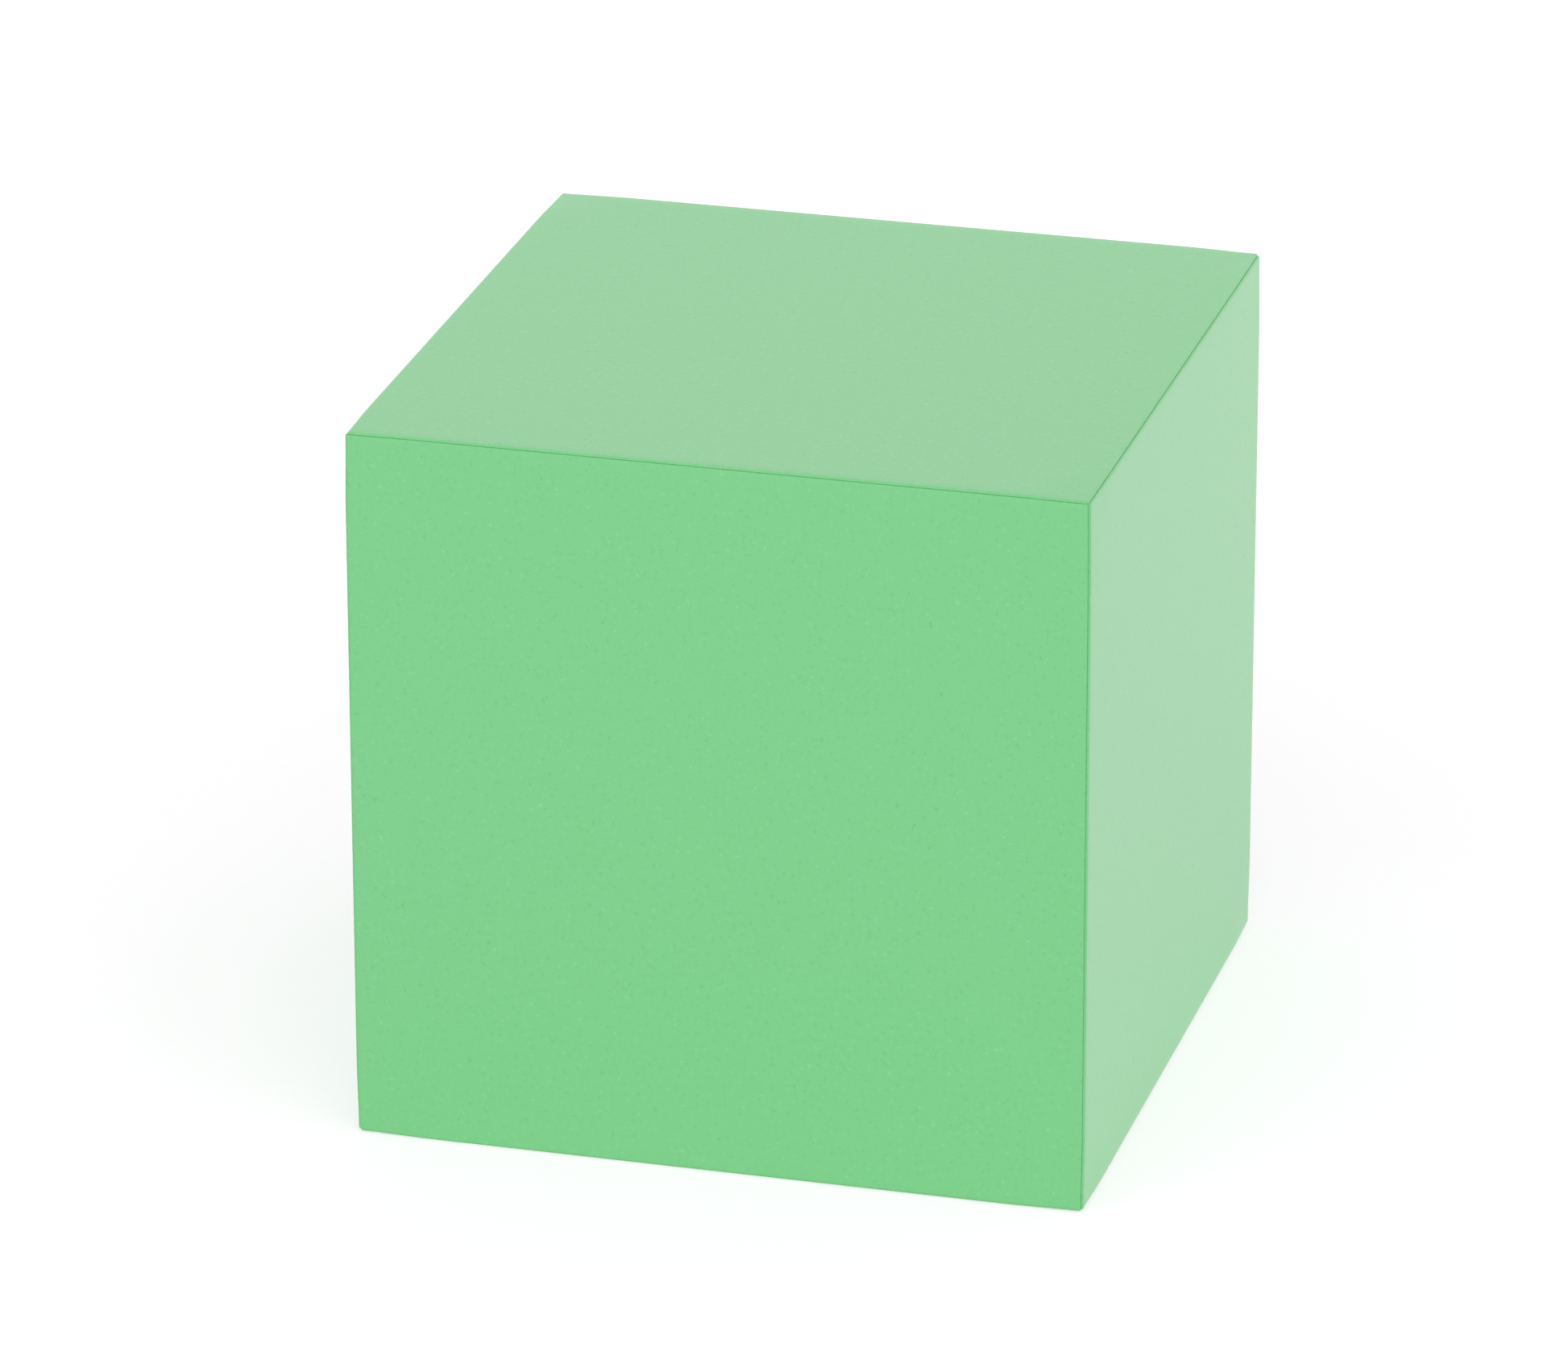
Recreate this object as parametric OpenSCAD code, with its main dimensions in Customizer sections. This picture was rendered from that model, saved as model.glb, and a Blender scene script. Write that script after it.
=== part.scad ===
// Soft play cube: a foam block in a sewn leatherette cover, standing on its base panel.
// Every face is a panel of its own. Along each edge two panels fold inwards, meet face to face
// and are sewn together, so an edge shows as a fine valley between two small round lips.
// The origin is at the middle of the base, the front is towards -Y and the unit is 1 mm.

/* [Cube] */
// Length of an edge of the finished cube, measured from face to face
cube_side = 300; // [150:5:600]

/* [Cover] */
// Thickness of the leatherette
sheet_t = 0.6; // [0.4:0.1:1.2]
// Inside radius of the fold where a panel turns into a seam
fold_inner_r = 0.1; // [0.1:0.05:0.6]
// Radius of the path that the fold follows round a corner of the panel
corner_path_r = 0.3; // [0.2:0.1:1.5]
// Width of the seam allowance, from the fold to its cut edge
allowance_w = 8; // [5:0.5:12]

/* [Stitching] */
// Diameter of the sewing thread
thread_d = 0.4; // [0.2:0.05:0.5]
// Distance from the fold to the stitch line, across the allowance
stitch_in = 1.2; // [0.8:0.1:3]

/* [Foam] */
// Room between the foam and what touches it
foam_gap = 0.1; // [0.05:0.05:0.3]

/* [Hidden] */
$fn = 96;

// Angle between a face and the plane that halves the cube's edge, where the allowances lie
MITRE = 45;
// Outside radius of the fold, which is the round lip beside a seam
fold_r = fold_inner_r + sheet_t;
// Distance from the next face to the middle of the fold. The lips of both panels just touch there.
fold_in = fold_r / tan(MITRE / 2);
// Width of the flat part of a panel
flat_w = cube_side - 2 * fold_in;
// Length of the straight fold and of the allowance on each side, between the rounded corners
straight_w = flat_w - 2 * corner_path_r;

LEATHERETTE = "#82D28F";
FOAM = "#EFE7D2";
THREAD = "#6FBF7E";

// These three move a panel that faces up, with its outer face on z = 0, onto a face of the cube.
module on_top() {
  translate([0, 0, cube_side])
    children();
}

module on_base() {
  rotate([180, 0, 0])
    children();
}

// A side is given by its turn from the front: 90 is the right, 180 the back and 270 the left.
module on_side(turn) {
  translate([0, 0, cube_side / 2])
    rotate([90, 0, turn])
      translate([0, 0, cube_side / 2])
        children();
}

// The flat part of a panel: a square with its corners rounded to the fold's path
module flat_outline() {
  square([flat_w, straight_w], center = true);
  square([straight_w, flat_w], center = true);
  for (x = [-1, 1], y = [-1, 1])
    translate([x, y] * straight_w / 2)
      circle(corner_path_r);
}

// Section of the fold about its own centre: a ring from straight up, round the lip, to the mitre
module fold_section() {
  reach = 2 * fold_r;
  intersection() {
    difference() {
      circle(fold_r);
      circle(fold_inner_r);
    }
    polygon([[0, 0], [reach, -reach * tan(MITRE)], [reach, reach], [0, reach]]);
  }
}

// A strip that leaves the fold in the plane of the seam, with its corners clipped as a tailor does
module allowance() {
  rotate([0, -MITRE, 0])
    translate([0, 0, -fold_r])
      linear_extrude(sheet_t)
        polygon([
          [0, straight_w / 2],
          [0, -straight_w / 2],
          [-allowance_w, allowance_w - straight_w / 2],
          [-allowance_w, straight_w / 2 - allowance_w]
        ]);
}

// One panel, facing up, with its outer face on z = 0
module panel() {
  color(LEATHERETTE) {
    translate([0, 0, -sheet_t])
      linear_extrude(sheet_t)
        flat_outline();
    for (side = [0:90:270])
      rotate(side)
        translate([flat_w / 2, 0, -fold_r]) {
          rotate([90, 0, 0])
            linear_extrude(straight_w, center = true)
              fold_section();
          allowance();
        }
    for (side = [0:90:270])
      rotate(side)
        translate([straight_w / 2, straight_w / 2, -fold_r])
          rotate_extrude(angle = 90)
            translate([corner_path_r, 0])
              fold_section();
  }
}

// The runs of thread that lie on the inner side of one panel's allowances
module panel_stitching() {
  run = straight_w - 2 * stitch_in;
  for (side = [0:90:270])
    rotate(side)
      translate([flat_w / 2, 0, -fold_r])
        rotate([0, -MITRE, 0])
          translate([-stitch_in, 0, -fold_inner_r + thread_d / 2])
            rotate([90, 0, 0])
              cylinder(d = thread_d, h = run, center = true);
}

// Room for one seam in the edge of the foam. x runs inwards from the cube's edge along the seam.
module seam_room() {
  deep = fold_in + allowance_w + foam_gap;
  wide = 2 * (sheet_t + foam_gap);
  translate([0, -wide / 2])
    square([deep, wide]);
  for (side = [-1, 1]) {
    translate([fold_in, side * fold_r])
      circle(fold_r + foam_gap);
    translate([fold_in + stitch_in, side * (sheet_t + thread_d / 2)])
      circle(d = thread_d + 2 * foam_gap);
  }
}

// The room for the four seams that run up the cube
module upright_seam_rooms() {
  for (side = [0:90:270])
    rotate(side)
      translate([cube_side / 2, cube_side / 2, 0])
        rotate(180 + MITRE)
          linear_extrude(cube_side, center = true)
            seam_room();
}

// A block of soft foam that fills the cover, with the seams pressed into its twelve edges
module foam_core() {
  foam_side = cube_side - 2 * (sheet_t + foam_gap);
  color(FOAM)
    translate([0, 0, cube_side / 2])
      difference() {
        cube(foam_side, center = true);
        upright_seam_rooms();
        rotate([90, 0, 0])
          upright_seam_rooms();
        rotate([0, 90, 0])
          upright_seam_rooms();
      }
}

// Two runs of thread in each seam, one on either side of the two allowances
module seam_thread() {
  color(THREAD) {
    on_top()
      panel_stitching();
    on_base()
      panel_stitching();
    for (turn = [0:90:270])
      on_side(turn)
        panel_stitching();
  }
}

module base_panel() {
  on_base()
    panel();
}

module front_panel() {
  on_side(0)
    panel();
}

module right_panel() {
  on_side(90)
    panel();
}

module back_panel() {
  on_side(180)
    panel();
}

module left_panel() {
  on_side(270)
    panel();
}

module top_panel() {
  on_top()
    panel();
}

foam_core();
seam_thread();
base_panel();
front_panel();
right_panel();
back_panel();
left_panel();
top_panel();
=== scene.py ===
# A soft play cube: a foam block in a sewn cover of mint green leatherette, on a white studio floor.
# Sizes are in metres, and the camera's film and lens in millimetres.
import math

import bpy
from mathutils import Matrix, Vector


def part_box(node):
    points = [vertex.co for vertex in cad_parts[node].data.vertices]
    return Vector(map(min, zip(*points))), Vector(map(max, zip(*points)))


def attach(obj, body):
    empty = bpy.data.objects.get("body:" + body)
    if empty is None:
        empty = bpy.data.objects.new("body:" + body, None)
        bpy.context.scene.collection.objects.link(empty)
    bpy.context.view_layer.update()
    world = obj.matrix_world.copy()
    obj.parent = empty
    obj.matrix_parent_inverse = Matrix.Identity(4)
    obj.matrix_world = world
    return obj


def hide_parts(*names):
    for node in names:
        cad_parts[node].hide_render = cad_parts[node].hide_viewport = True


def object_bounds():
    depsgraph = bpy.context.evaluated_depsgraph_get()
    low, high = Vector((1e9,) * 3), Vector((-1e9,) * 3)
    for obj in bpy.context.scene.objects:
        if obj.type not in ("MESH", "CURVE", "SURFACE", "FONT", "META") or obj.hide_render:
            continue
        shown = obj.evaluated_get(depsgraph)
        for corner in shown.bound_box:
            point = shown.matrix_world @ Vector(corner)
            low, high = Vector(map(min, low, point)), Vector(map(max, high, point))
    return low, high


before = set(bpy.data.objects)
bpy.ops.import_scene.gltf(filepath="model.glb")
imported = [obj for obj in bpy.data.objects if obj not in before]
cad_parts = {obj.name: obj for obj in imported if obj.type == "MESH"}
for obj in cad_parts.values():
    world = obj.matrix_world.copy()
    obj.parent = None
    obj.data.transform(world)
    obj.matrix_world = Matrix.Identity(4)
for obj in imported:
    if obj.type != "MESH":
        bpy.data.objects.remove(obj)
cad_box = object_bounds()

# Foam block. A cube of open-cell polyurethane foam, sawn from a larger block. It fills the cover
# tightly and the seams press into its edges, so nothing of it shows.
foam_colour = "#EFE7D2"
# Painted shade in the pits of the cells, darker than the foam itself.
foam_pit_shade_colour = "#CDBF9C"
foam_roughness = 0.95
foam_cell = 0.0015
# A pit reaches this share of a cell from its middle, and is about this deep.
pit_reach = 0.5
pit_depth = foam_cell / 3


def linear(hex_colour):
    """The linear colour of an sRGB hex value, with alpha."""
    shares = [int(hex_colour[i:i + 2], 16) / 255 for i in (1, 3, 5)]
    return [s / 12.92 if s <= 0.04045 else ((s + 0.055) / 1.055) ** 2.4 for s in shares] + [1]


def add_node(tree, kind, inputs=None, **settings):
    """Adds a node to a tree. An input given a socket is linked, and one given a value is set."""
    node = tree.nodes.new(kind)
    for name, value in settings.items():
        setattr(node, name, value)
    for name, value in (inputs or {}).items():
        if isinstance(value, bpy.types.NodeSocket):
            tree.links.new(value, node.inputs[name])
        else:
            node.inputs[name].default_value = value
    return node


# Sawn foam is a net of open cells: matt all over, with painted shade in the pit in the middle of
# each cell.
foam = bpy.data.materials.new("open_cell_polyurethane_foam")
foam.use_nodes = True
tree = foam.node_tree
shader = tree.nodes["Principled BSDF"]
shader.inputs["Roughness"].default_value = foam_roughness
place = add_node(tree, "ShaderNodeTexCoord")
cells = add_node(
    tree,
    "ShaderNodeTexVoronoi",
    {"Vector": place.outputs["Object"], "Scale": 1 / foam_cell},
)
tone = add_node(tree, "ShaderNodeValToRGB", {"Fac": cells.outputs["Distance"]})
tone.color_ramp.elements[0].color = linear(foam_pit_shade_colour)
tone.color_ramp.elements[1].color = linear(foam_colour)
tone.color_ramp.elements[1].position = pit_reach
relief = add_node(
    tree,
    "ShaderNodeBump",
    {"Height": cells.outputs["Distance"], "Distance": pit_depth},
)
tree.links.new(tone.outputs["Color"], shader.inputs["Base Color"])
tree.links.new(relief.outputs["Normal"], shader.inputs["Normal"])
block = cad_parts["foam_core"]
block.data.materials.clear()
block.data.materials.append(foam)

# Sewing thread. Bonded polyester, three strands twisted together, in two runs along each seam: one
# on either side of the two seam allowances. The lips of the seam close over it.
thread_colour = "#63B673"
# Painted shade in the grooves between the strands.
thread_painted_groove_shade_colour = "#3F8A50"
thread_roughness = 0.6
thread_sheen = 0.2
# The strands make a full turn in this length, which sets how far apart they lie along the thread.
twist_length = 0.0012
strand_count = 3
strand_spacing = twist_length / strand_count
# At a scale of 1, the slanting bands of the wave node are this far apart along an axis.
band_spacing = math.tau / 10

# Twisted thread is a row of slanting strands with a soft sheen, and painted shade in the grooves
# between them.
thread = bpy.data.materials.new("twisted_polyester_thread")
thread.use_nodes = True
tree = thread.node_tree
shader = tree.nodes["Principled BSDF"]
shader.inputs["Roughness"].default_value = thread_roughness
shader.inputs["Sheen Weight"].default_value = thread_sheen
place = add_node(tree, "ShaderNodeTexCoord")
strands = add_node(
    tree,
    "ShaderNodeTexWave",
    {"Vector": place.outputs["Object"], "Scale": band_spacing / strand_spacing},
    bands_direction="DIAGONAL",
)
tone = add_node(tree, "ShaderNodeValToRGB", {"Fac": strands.outputs["Fac"]})
tone.color_ramp.elements[0].color = linear(thread_painted_groove_shade_colour)
tone.color_ramp.elements[1].color = linear(thread_colour)
tree.links.new(tone.outputs["Color"], shader.inputs["Base Color"])
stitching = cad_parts["seam_thread"]
stitching.data.materials.clear()
stitching.data.materials.append(thread)

# Cover panels. Each face is a square of leatherette, a coated knit 0.6 mm thick. Its edges fold
# in and are sewn to the four panels beside it, so every edge of the cube is a fine valley between
# two round lips. The foam keeps the faces flat and taut, but gives a little at the corners.
cube_side = cad_box[1][0] - cad_box[0][0]
panel_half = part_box("top_panel")[1][0]
# In the CAD a lip ends short of the cube's side by the root of two times its own radius.
cad_lip_r = (cube_side / 2 - panel_half) / math.sqrt(2)
flat_half = panel_half - cad_lip_r
# Here the lips press on each other: each turns this far, on this radius, until it meets the next.
fold_angle = math.radians(115)
lip_r = (cube_side / 2 - flat_half) / (1 + math.sin(fold_angle) - math.cos(fold_angle))
fold_steps = 10
sheet_t = 0.0006
allowance_w = 0.008
corner_r = 0.0003
corner_steps = 4
corner_dip = 0.00035
corner_reach = 0.03
cells_across = 64
smooth_angle = math.radians(40)
quarter_turn = math.pi / 2
up = Vector((0, 0, 1))
# A point this close to a line counts as on it.
near = 1e-5

bpy.ops.object.select_all(action="DESELECT")
bpy.ops.mesh.primitive_grid_add(
    x_subdivisions=cells_across,
    y_subdivisions=cells_across,
    size=2 * flat_half,
)
panel = bpy.context.object
panel.name = "panel"
mesh = panel.data


def select_only(kind, wanted):
    """Selects the vertices or edges of the panel that are wanted, and leaves it in edit mode."""
    bpy.ops.object.mode_set(mode="EDIT")
    bpy.ops.mesh.select_mode(type=kind)
    bpy.ops.mesh.select_all(action="DESELECT")
    bpy.ops.object.mode_set(mode="OBJECT")
    for part in mesh.vertices if kind == "VERT" else mesh.edges:
        part.select = wanted(part)
    bpy.ops.object.mode_set(mode="EDIT")


# The corners of the square are rounded, and the rim is turned down and under in small steps.
select_only("VERT", lambda vertex: min(abs(vertex.co.x), abs(vertex.co.y)) > flat_half - near)
bpy.ops.mesh.bevel(offset=corner_r, segments=corner_steps, affect="VERTICES")
bpy.ops.mesh.select_mode(type="EDGE")
bpy.ops.mesh.select_all(action="DESELECT")
bpy.ops.mesh.select_non_manifold()
rim_half = flat_half
rim_depth = 0
for step in range(1, fold_steps + 1):
    angle = fold_angle * step / fold_steps
    next_half = flat_half + lip_r * math.sin(angle)
    next_depth = lip_r * (1 - math.cos(angle))
    down = (0, 0, rim_depth - next_depth)
    widen = next_half / rim_half
    bpy.ops.mesh.extrude_edges_move(TRANSFORM_OT_translate={"value": down})
    bpy.ops.transform.resize(value=(widen, widen, 1), center_override=(0, 0, 0))
    rim_half = next_half
    rim_depth = next_depth
bpy.ops.object.mode_set(mode="OBJECT")


def on_rim(edge, out):
    """Whether an edge of the panel lies on its lowest rim, on the side that faces out."""
    ends = [mesh.vertices[i].co for i in edge.vertices]
    return all(end.dot(out) > rim_half - near and end.z < near - rim_depth for end in ends)


# The seam allowances run on from the rim, one on each side. Each is clipped at its ends, so that
# it gets shorter by its own width there and leaves room for the next one.
straight_half = flat_half - corner_r
for side in range(4):
    out = Matrix.Rotation(side * quarter_turn, 3, "Z") @ Vector((1, 0, 0))
    along = out.cross(up)
    select_only("EDGE", lambda edge: on_rim(edge, out))
    inward = (out + up) * -allowance_w / math.sqrt(2)
    bpy.ops.mesh.extrude_edges_move(TRANSFORM_OT_translate={"value": inward})
    clip = [1 - abs(along[axis]) * allowance_w / straight_half for axis in range(3)]
    bpy.ops.transform.resize(value=clip, center_override=(0, 0, 0))
    bpy.ops.object.mode_set(mode="OBJECT")

# The cube's corners give a little, where three seams draw together.
for x in (-1, 1):
    for y in (-1, 1):
        select_only("VERT", lambda vertex: min(vertex.co.x * x, vertex.co.y * y) > straight_half)
        bpy.ops.transform.translate(
            value=(-x * corner_dip, -y * corner_dip, -corner_dip),
            use_proportional_edit=True,
            proportional_edit_falloff="SMOOTH",
            proportional_size=corner_reach,
        )
        bpy.ops.object.mode_set(mode="OBJECT")

# Leatherette is a knit with a soft plastic coat, rolled while warm under an embossed cylinder: a
# fine pebble grain with a satin gloss that turns pale at a glancing angle. The dye is even, with
# deep flecks of about a millimetre where the grain took more of it, and pale flecks of the same
# size that are partly a lighter tone and, at their palest, painted glints on the pebbles.
deep_colour = "#68BF78"
even_colour = "#75C984"
# Pale flecks: a lighter tone that at its palest is a painted glint on the pebbles.
pale_tone_and_glint_colour = "#87D495"
satin_roughness = 0.35
coat_ior = 1.52
pebble_w = 0.0014
pebble_depth = 0.00003
# A fleck is half a wave of the noise, which is deep at its low levels and pale at its high ones,
# where it is a painted glint.
fleck_w = 0.0011
fleck_detail = 3
fleck_roughness = 0.7
deep_level = 0.25
even_levels = (0.42, 0.6)
pale_tone_and_glint_level = 0.78

leatherette = bpy.data.materials.new("embossed_leatherette")
leatherette.use_nodes = True
tree = leatherette.node_tree
shader = tree.nodes["Principled BSDF"]
shader.inputs["Roughness"].default_value = satin_roughness
shader.inputs["IOR"].default_value = coat_ior
place = add_node(tree, "ShaderNodeTexCoord")
pebbles = add_node(
    tree,
    "ShaderNodeTexVoronoi",
    {"Vector": place.outputs["Object"], "Scale": 1 / pebble_w},
)
flecks = add_node(
    tree,
    "ShaderNodeTexNoise",
    {
        "Vector": place.outputs["Object"],
        "Scale": 1 / (2 * fleck_w),
        "Detail": fleck_detail,
        "Roughness": fleck_roughness,
    },
)
tone = add_node(tree, "ShaderNodeValToRGB", {"Fac": flecks.outputs["Fac"]})
tone.color_ramp.elements[0].position = deep_level
tone.color_ramp.elements[0].color = linear(deep_colour)
# The top of the ramp is the pale tone with its painted glints.
tone.color_ramp.elements[1].position = pale_tone_and_glint_level
tone.color_ramp.elements[1].color = linear(pale_tone_and_glint_colour)
for even_level in even_levels:
    tone.color_ramp.elements.new(even_level).color = linear(even_colour)
relief = add_node(
    tree,
    "ShaderNodeBump",
    {"Height": pebbles.outputs["Distance"], "Distance": pebble_depth},
    invert=True,
)
tree.links.new(tone.outputs["Color"], shader.inputs["Base Color"])
tree.links.new(relief.outputs["Normal"], shader.inputs["Normal"])

# The sheet's thickness goes inwards from the shape made so far, which is its outer side.
panel.data.materials.append(leatherette)
thickness = panel.modifiers.new("thickness", "SOLIDIFY")
thickness.thickness = sheet_t
thickness.offset = -1
bpy.ops.object.modifier_apply(modifier=thickness.name)
bpy.ops.object.shade_smooth_by_angle(angle=smooth_angle)

# Six copies face outwards on the sides of the cube.
middle = Vector((0, 0, cad_box[0][2] + cube_side / 2))
for name, turn in (
    ("base", (2 * quarter_turn, 0, 0)),
    ("front", (quarter_turn, 0, 0)),
    ("right", (quarter_turn, 0, quarter_turn)),
    ("back", (quarter_turn, 0, 2 * quarter_turn)),
    ("left", (quarter_turn, 0, 3 * quarter_turn)),
    ("top", (0, 0, 0)),
):
    bpy.ops.object.select_all(action="DESELECT")
    panel.select_set(True)
    bpy.context.view_layer.objects.active = panel
    bpy.ops.object.duplicate()
    cover = bpy.context.object
    cover.name = f"{name}_cover"
    cover.data.name = cover.name
    cover.rotation_euler = turn
    cover.location = middle + cover.rotation_euler.to_matrix() @ Vector((0, 0, cube_side / 2))
    bpy.ops.object.transform_apply()
    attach(cover, "root")
    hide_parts(f"{name}_panel")
bpy.ops.object.select_all(action="DESELECT")
panel.select_set(True)
bpy.ops.object.delete()

# Studio floor. A roll of matt white paper, lit so brightly that only a faint shadow of the cube is
# left on it. The cover mirrors it brighter than it looks. Its glow is a trace short of green, which
# makes up for the green that the cover throws on it.
floor_size = 6
floor_gap = 0.0001
floor_colour = "#F5F5F5"
# The paper shows its shadow at this share of its colour, under an even glow.
shadow_share = 0.74
glow_colour = "#FFF9FF"
floor_glow = 0.53
mirrored_glow = 0.37

bpy.ops.mesh.primitive_plane_add(size=floor_size, location=(0, 0, cad_box[0][2] - floor_gap))
floor = bpy.context.object
floor.name = "studio_floor"
paper = bpy.data.materials.new("matt_white_paper")
paper.use_nodes = True
paper.cycles.emission_sampling = "NONE"
tree = paper.node_tree
tree.nodes.remove(tree.nodes["Principled BSDF"])
paint = add_node(tree, "ShaderNodeBsdfDiffuse", {"Color": linear(floor_colour)})
dim_colour = [shadow_share * channel for channel in linear(floor_colour)]
dim_paint = add_node(tree, "ShaderNodeBsdfDiffuse", {"Color": dim_colour})
ray = add_node(tree, "ShaderNodeLightPath")
glow = add_node(
    tree,
    "ShaderNodeMath",
    {0: ray.outputs["Is Glossy Ray"], 1: mirrored_glow, 2: floor_glow},
    operation="MULTIPLY_ADD",
)
shine = add_node(
    tree,
    "ShaderNodeEmission",
    {"Color": linear(glow_colour), "Strength": glow.outputs[0]},
)
lit = add_node(tree, "ShaderNodeAddShader", {0: dim_paint.outputs[0], 1: shine.outputs[0]})
# The light that the paper throws back on the cube comes from its colour alone, without the glow.
either = add_node(
    tree,
    "ShaderNodeMixShader",
    {0: ray.outputs["Is Diffuse Ray"], 1: lit.outputs[0], 2: paint.outputs[0]},
)
tree.links.new(either.outputs[0], tree.nodes["Material Output"].inputs["Surface"])
floor.data.materials.append(paper)

# Studio light. White walls: the wall in front is lit most, and there is a little light from the
# right, from behind and from overhead. The cover mirrors an even white backdrop, and the camera
# sees plain white.
front_light = 1.44
back_light = 0.39
right_light = 0.46
overhead_light = 0.47
mirrored_light = 1.54
seen_light = 1

world = bpy.data.worlds.new("white_studio")
world.use_nodes = True
world.cycles.sampling_method = "NONE"
bpy.context.scene.world = world
tree = world.node_tree
place = add_node(tree, "ShaderNodeTexCoord")
right_back_up = add_node(
    tree,
    "ShaderNodeVectorMath",
    {0: place.outputs["Generated"], 1: (0, 0, 0)},
    operation="MAXIMUM",
)
walls = add_node(
    tree,
    "ShaderNodeVectorMath",
    {0: right_back_up.outputs["Vector"], 1: (right_light, back_light, overhead_light)},
    operation="DOT_PRODUCT",
)
left_front_down = add_node(
    tree,
    "ShaderNodeVectorMath",
    {0: place.outputs["Generated"], 1: (0, 0, 0)},
    operation="MINIMUM",
)
front_wall = add_node(
    tree,
    "ShaderNodeVectorMath",
    {0: left_front_down.outputs["Vector"], 1: (0, -front_light, 0)},
    operation="DOT_PRODUCT",
)
level = add_node(
    tree,
    "ShaderNodeMath",
    {0: walls.outputs["Value"], 1: front_wall.outputs["Value"]},
    operation="ADD",
)
ray = add_node(tree, "ShaderNodeLightPath")
mirrored = add_node(
    tree,
    "ShaderNodeMix",
    {"Factor": ray.outputs["Is Glossy Ray"], "A": level.outputs[0], "B": mirrored_light},
)
strength = add_node(
    tree,
    "ShaderNodeMix",
    {"Factor": ray.outputs["Is Camera Ray"], "A": mirrored.outputs["Result"], "B": seen_light},
)
background = tree.nodes["Background"]
background.inputs["Color"].default_value = (1, 1, 1, 1)
tree.links.new(strength.outputs["Result"], background.inputs["Strength"])
bpy.context.scene.view_settings.view_transform = "Standard"

# Camera. A long lens at a distance, above the cube and to the right of its front. The cube's middle
# lies a little to the right of the picture's middle and a little below it.
azimuth = math.radians(15.19)
elevation = math.radians(21.83)
tilt = math.radians(0.09)
distance = 3.888
aside = 0.0122
below = 0.0056
film_w = 36
lens = 219.8

bpy.ops.object.camera_add(rotation=(quarter_turn - elevation, tilt, azimuth))
camera = bpy.context.object
camera.name = "camera"
camera.location = middle + camera.rotation_euler.to_matrix() @ Vector((-aside, below, distance))
camera.data.sensor_width = film_w
camera.data.lens = lens
bpy.context.scene.camera = camera
